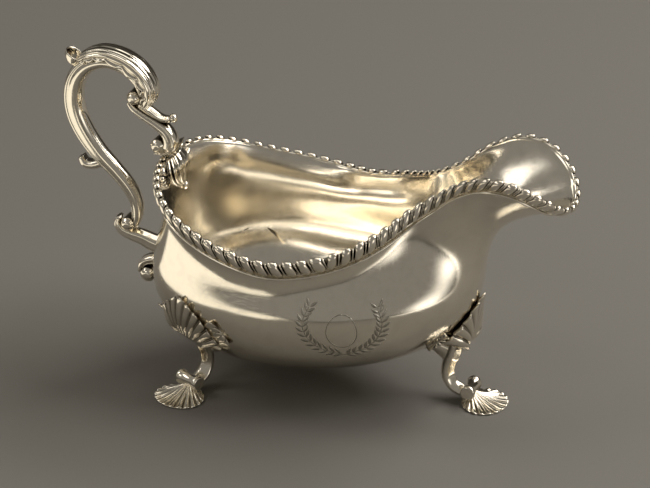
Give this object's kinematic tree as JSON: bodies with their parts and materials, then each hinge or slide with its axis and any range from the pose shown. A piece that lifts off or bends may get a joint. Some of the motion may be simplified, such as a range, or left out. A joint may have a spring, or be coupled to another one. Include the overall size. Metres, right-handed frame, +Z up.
{
  "type": "sauce boat",
  "caption": "Footed silver sauce boat with a gadrooned rim, a wide pouring lip, a flying scroll handle with an acanthus leaf, and shell knees over curved legs with shell feet.",
  "frame": {"origin": "on the table under the middle of the sauce boat's box", "axes": "+X along the boat towards the pouring lip, +Y to the boat's left-hand side, +Z up from the table"},
  "size_m": [0.1942, 0.0916, 0.1214],
  "materials": {
    "raised_silver": "polished sterling silver sheet, fine wear scratches",
    "cast_silver": "polished cast sterling silver, slightly warm in the recesses"
  },
  "bodies": {
    "root": {"bowl": "raised_silver", "gadroon_border_right": "cast_silver", "gadroon_border_left": "cast_silver", "rim_wire_right": "cast_silver", "rim_wire_left": "cast_silver", "handle_scroll": "cast_silver", "handle_leaf": "cast_silver", "handle_spur": "cast_silver", "handle_neck": "cast_silver", "handle_collar": "cast_silver", "handle_drop": "cast_silver", "handle_arm": "cast_silver", "handle_terminal": "cast_silver", "front_leg_knee": "cast_silver", "front_leg_wing": "cast_silver", "front_leg_leaf_right": "cast_silver", "front_leg_leaf_left": "cast_silver", "front_leg_shank": "cast_silver", "front_leg_knuckle": "cast_silver", "front_leg_foot": "cast_silver", "rear_left_leg_knee": "cast_silver", "rear_left_leg_wing": "cast_silver", "rear_left_leg_leaf_right": "cast_silver", "rear_left_leg_leaf_left": "cast_silver", "rear_left_leg_shank": "cast_silver", "rear_left_leg_knuckle": "cast_silver", "rear_left_leg_foot": "cast_silver", "rear_right_leg_knee": "cast_silver", "rear_right_leg_wing": "cast_silver", "rear_right_leg_leaf_right": "cast_silver", "rear_right_leg_leaf_left": "cast_silver", "rear_right_leg_shank": "cast_silver", "rear_right_leg_knuckle": "cast_silver", "rear_right_leg_foot": "cast_silver"}
  },
  "joints": []
}
